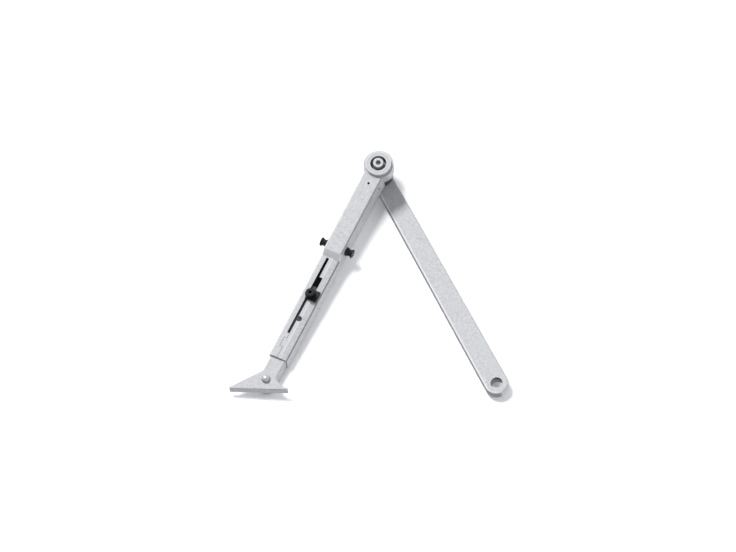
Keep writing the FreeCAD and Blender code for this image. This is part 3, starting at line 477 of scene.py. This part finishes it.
def dress_nodes():
    dress(silver_paint("paint_bar", bar_shade), "main_arm")
    dress(silver_paint("paint_cast", peel=0.8), "elbow_block")
    dress(silver_paint("paint_ring", ring_shade), "elbow_cap_ring")
    dress(silver_paint("paint_housing", housing_shade), "elbow_housing")
    dress(silver_paint("paint_sheet", sleeve_shade), "adjustment_sleeve")
    dress(silver_paint("paint_foot", foot_shade), "foot_bracket")
    dress(silver_paint("paint_rod", rod_shade), "slide_rod")
    dress(bare_metal("zinc_rivet", tone=0.42, rough=0.38, metallic=0.4, shade=rivet_shade),
          "foot_rivet")
    dress(bare_metal("zinc_screw", tone=0.36, rough=0.5, metallic=0.5), "pivot_screw")
    dress(bare_metal("zinc_washer", tone=0.45, rough=0.45, metallic=0.5), "thrust_washer")
    dress(bare_metal("zinc_dull", tone=0.12, rough=0.5), "pivot_washer", "rivet_washer")
    dress(bare_metal("steel_pin", tone=0.38, rough=0.5, metallic=0.3), "roll_pin")
    dress(bare_metal("steel_cross", tone=0.012, rough=0.6, metallic=0.0), "cross_pin")
    dress(bare_metal("steel_hard", tone=0.1, rough=0.4), "pivot_stud", "detent_cam",
          "detent_roller", "roller_axle", "switch_shaft")
    dress(bare_metal("steel_soft", tone=0.3, rough=0.42), "plunger", "pull_yoke", "spring_seat")
    dress(bare_metal("steel_spring", tone=0.2, rough=0.25), "detent_spring")
    dress(black_plastic("plastic_knob"), "switch_knob_left", "switch_knob_right")
    dress(black_oxide("oxide_screw"), "clamp_screw", "clamp_plate")
    dress(bronze("bronze_bush"), "elbow_bush")


def soften_nodes():
    """A small bevel catches the light on every sharp edge."""
    for node in NODES.values():
        for face in node.data.polygons:
            face.use_smooth = True
        bevel = node.modifiers.new("edge", "BEVEL")
        bevel.width = EDGE_BEVEL
        bevel.segments = 2
        bevel.limit_method = "ANGLE"
        bevel.angle_limit = EDGE_BEVEL_ANGLE
        bevel.harden_normals = True


def photo_axes():
    """Right, up and back of the camera, and the floor's normal, in the object's frame."""
    bar = Vector((-math.sin(BAR_ANGLE), math.cos(BAR_ANGLE), 0))
    tilt = Matrix.Rotation(REST_TILT, 3, bar)
    right = Vector((1, 0, 0)) @ tilt
    up = Vector((0, math.sin(ELEVATION), math.cos(ELEVATION))) @ tilt
    back = Vector((0, -math.cos(ELEVATION), math.sin(ELEVATION))) @ tilt
    normal = UPWARD @ tilt
    return right, up, back, normal


def add_camera():
    right, up, back, _ = photo_axes()
    data = bpy.data.cameras.new("photo_camera")
    camera = bpy.data.objects.new("photo_camera", data)
    bpy.context.scene.collection.objects.link(camera)
    data.type = "ORTHO"
    data.ortho_scale = IMAGE_WIDTH * METRES_PER_PIXEL
    data.clip_end = CAMERA_DISTANCE * 10
    across = (SPINDLE_PIXEL[0] - IMAGE_WIDTH / 2) * METRES_PER_PIXEL
    down = (SPINDLE_PIXEL[1] - IMAGE_HEIGHT / 2) * METRES_PER_PIXEL
    place = right * -across + up * down + back * CAMERA_DISTANCE
    rotation = Matrix((right, up, back)).transposed()
    camera.matrix_world = Matrix.Translation(place) @ rotation.to_4x4()
    bpy.context.scene.camera = camera


def lowest_along(normal):
    return min(normal.dot(vertex.co) for node in NODES.values() for vertex in node.data.vertices)


def add_floor():
    """A plain pale floor under the object's lowest point, tipped as the object lies."""
    normal = photo_axes()[3]
    corners = [(x * FLOOR_HALF, y * FLOOR_HALF, 0)
               for x, y in ((-1, -1), (1, -1), (1, 1), (-1, 1))]
    mesh = bpy.data.meshes.new("floor")
    mesh.from_pydata(corners, [], [(0, 1, 2, 3)])
    floor = bpy.data.objects.new("floor", mesh)
    bpy.context.scene.collection.objects.link(floor)
    level = lowest_along(normal) - FLOOR_GAP
    floor.matrix_world = (Matrix.Translation(normal * level)
                          @ normal.to_track_quat("Z", "Y").to_matrix().to_4x4())
    material, _, shader = new_material("floor_paper")
    shader.inputs["Base Color"].default_value = (FLOOR_TONE, FLOOR_TONE, FLOOR_TONE, 1)
    shader.inputs["Roughness"].default_value = 0.9
    shader.inputs["Specular IOR Level"].default_value = 0.1
    mesh.materials.append(material)
    return floor


def add_lamp(name, direction, strength, softness, floor, link):
    """A distant lamp that lights the floor alone (INCLUDE) or all but the floor (EXCLUDE)."""
    data = bpy.data.lights.new(name, "SUN")
    data.angle = math.radians(softness)
    data.energy = strength
    lamp = bpy.data.objects.new(name, data)
    bpy.context.scene.collection.objects.link(lamp)
    lamp.rotation_euler = Vector(direction).to_track_quat("Z", "Y").to_euler()
    group = bpy.data.collections.new(name + "_floor")
    group.objects.link(floor)
    lamp.light_linking.receiver_collection = group
    group.collection_objects[0].light_linking.link_state = link


def add_world():
    """A pale studio: bright low down on the right, dim overhead and to the left."""
    world = bpy.data.worlds.new("studio")
    bpy.context.scene.world = world
    world.use_nodes = True
    tree = world.node_tree
    tree.nodes.clear()
    output = tree.nodes.new("ShaderNodeOutputWorld")
    background = tree.nodes.new("ShaderNodeBackground")
    slope = dot(tree, coordinates(tree, "Generated"), WORLD_SLOPE)
    strength = map_range(tree, slope, *WORLD_SLOPE_RANGE, *WORLD_STRENGTHS)
    tree.links.new(strength, background.inputs["Strength"])
    background.inputs["Color"].default_value = (*WORLD_TINT, 1)
    tree.links.new(background.outputs["Background"], output.inputs["Surface"])


def add_studio():
    """In the photograph the ground is lit apart from the object, so each has its own lamp."""
    bpy.context.scene.view_settings.view_transform = "Standard"
    floor = add_floor()
    add_world()
    add_lamp("key", KEY_DIRECTION, KEY_STRENGTH, KEY_SOFTNESS, floor, link="EXCLUDE")
    add_lamp("overhead", OVERHEAD_DIRECTION, OVERHEAD_STRENGTH, OVERHEAD_SOFTNESS, floor,
             link="INCLUDE")


def squash_spring():
    """Gives the coil its own copy of its mesh."""
    spring = NODES["detent_spring"]
    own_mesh(spring)


dress_nodes()
soften_nodes()
add_camera()
add_studio()
squash_spring()
